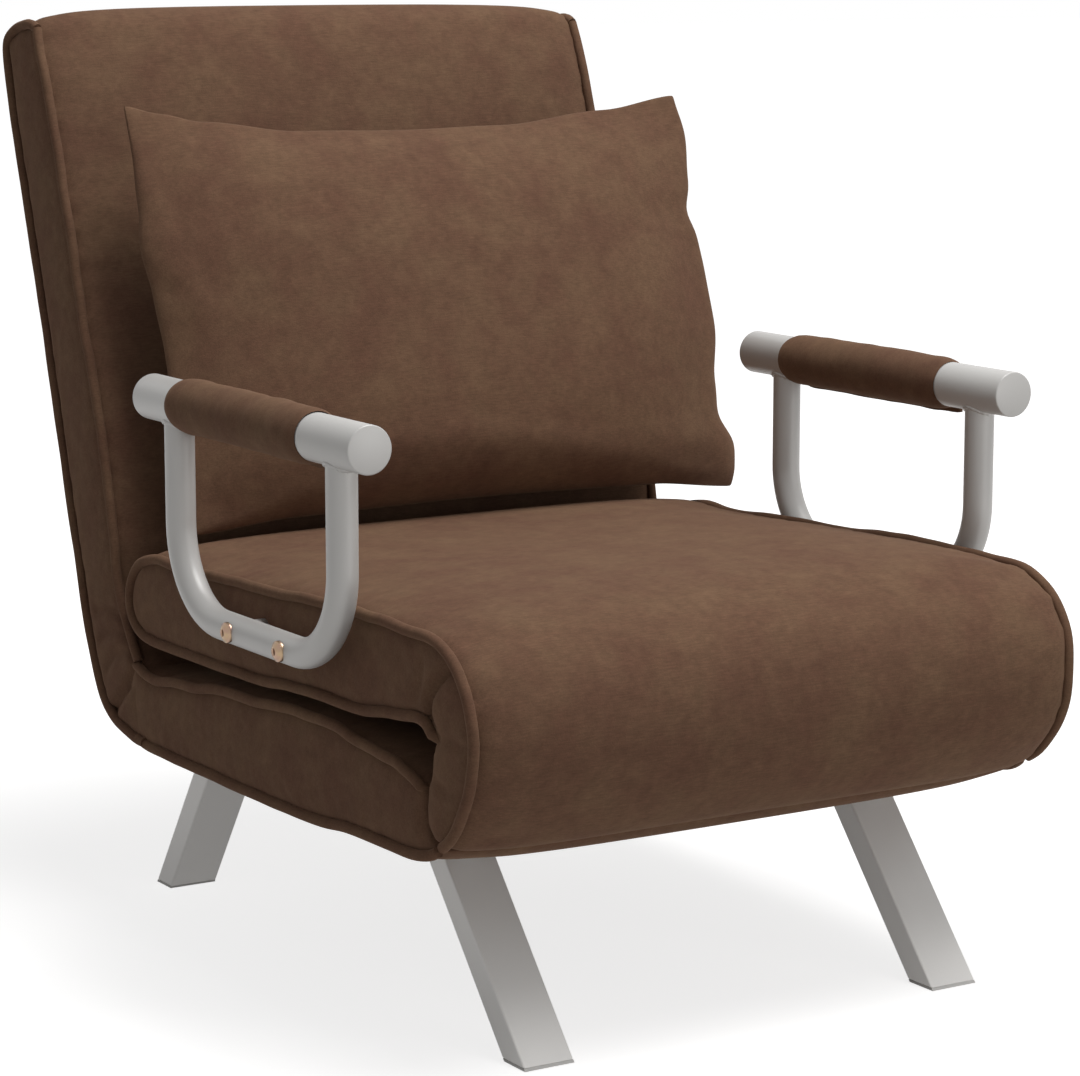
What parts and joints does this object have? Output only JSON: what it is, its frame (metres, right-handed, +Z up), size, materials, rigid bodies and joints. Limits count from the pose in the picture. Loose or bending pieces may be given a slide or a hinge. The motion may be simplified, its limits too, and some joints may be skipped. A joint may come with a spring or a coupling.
{
  "type": "convertible chair bed",
  "caption": "Low armchair with a reclining back and a seat that turns over on its arms to make a single bed, with splayed steel legs and a loose pillow.",
  "frame": {"origin": "on the floor, below the middle of the chair's outline at rest", "axes": "+X to the sitter's left, +Y to the rear, +Z up"},
  "size_m": [0.657, 0.8237, 0.7861],
  "materials": {
    "suede": "matte",
    "foam": "matte",
    "webbing": "matte",
    "coated_steel": "satin",
    "frame_steel": "satin",
    "hinge_steel": "satin",
    "yellow_zinc": "satin",
    "glide_plastic": "matte"
  },
  "bodies": {
    "base": {"fold_hinge_base_leaf_left": "hinge_steel", "fold_hinge_pin_left": "hinge_steel", "ratchet_base_bracket_left": "hinge_steel", "ratchet_pin_left": "hinge_steel", "ratchet_pawl_left": "hinge_steel", "fold_hinge_base_leaf_right": "hinge_steel", "fold_hinge_pin_right": "hinge_steel", "ratchet_base_bracket_right": "hinge_steel", "ratchet_pin_right": "hinge_steel", "ratchet_pawl_right": "hinge_steel", "fold_hinge_base_screws": "hinge_steel", "ratchet_base_screws": "hinge_steel", "leg_bolts": "hinge_steel", "leg_front_left": "coated_steel", "leg_front_right": "coated_steel", "leg_rear_left": "coated_steel", "leg_rear_right": "coated_steel", "leg_glides": "glide_plastic", "base_cover": "suede", "base_foam": "foam", "base_frame": "frame_steel", "base_straps": "webbing", "nose_cover": "suede", "nose_foam": "foam", "corner_cover": "suede", "corner_foam": "foam"},
    "seat": {"seat_cover": "suede", "seat_foam": "foam", "seat_frame": "frame_steel", "seat_straps": "webbing", "fold_hinge_seat_leaf_left": "hinge_steel", "fold_hinge_seat_leaf_right": "hinge_steel", "fold_hinge_seat_screws": "hinge_steel", "arm_tube_left": "coated_steel", "arm_tube_right": "coated_steel", "arm_bar_left": "coated_steel", "arm_bar_right": "coated_steel", "arm_bar_caps": "coated_steel", "arm_sleeve_left": "suede", "arm_sleeve_right": "suede", "arm_bolts": "yellow_zinc", "arm_spacers": "coated_steel"},
    "back": {"back_cover": "suede", "back_foam": "foam", "back_frame": "frame_steel", "back_straps": "webbing", "ratchet_back_bracket_left": "hinge_steel", "ratchet_back_bracket_right": "hinge_steel", "ratchet_back_screws": "hinge_steel"},
    "pillow": {"pillow_cover": "suede", "pillow_fill": "foam"}
  },
  "joints": [
    {"name": "seat_fold", "type": "hinge", "parent": "base", "child": "seat", "pos_m": [0, -0.3432, 0.248], "axis": [1, 0, 0], "range_deg": [0, 180], "deforming": ["nose_cover", "nose_foam", "pillow_cover", "pillow_fill"]},
    {"name": "back_recline", "type": "hinge", "parent": "base", "child": "back", "pos_m": [0, 0.1768, 0.224], "axis": [-1, 0, 0], "range_deg": [0, 72.8], "deforming": ["corner_cover", "corner_foam"]},
    {"name": "pillow_lift", "type": "slide", "parent": "back", "child": "pillow", "axis": [0, 0.2957, 0.9553], "range_m": [0, 0.45]}
  ]
}
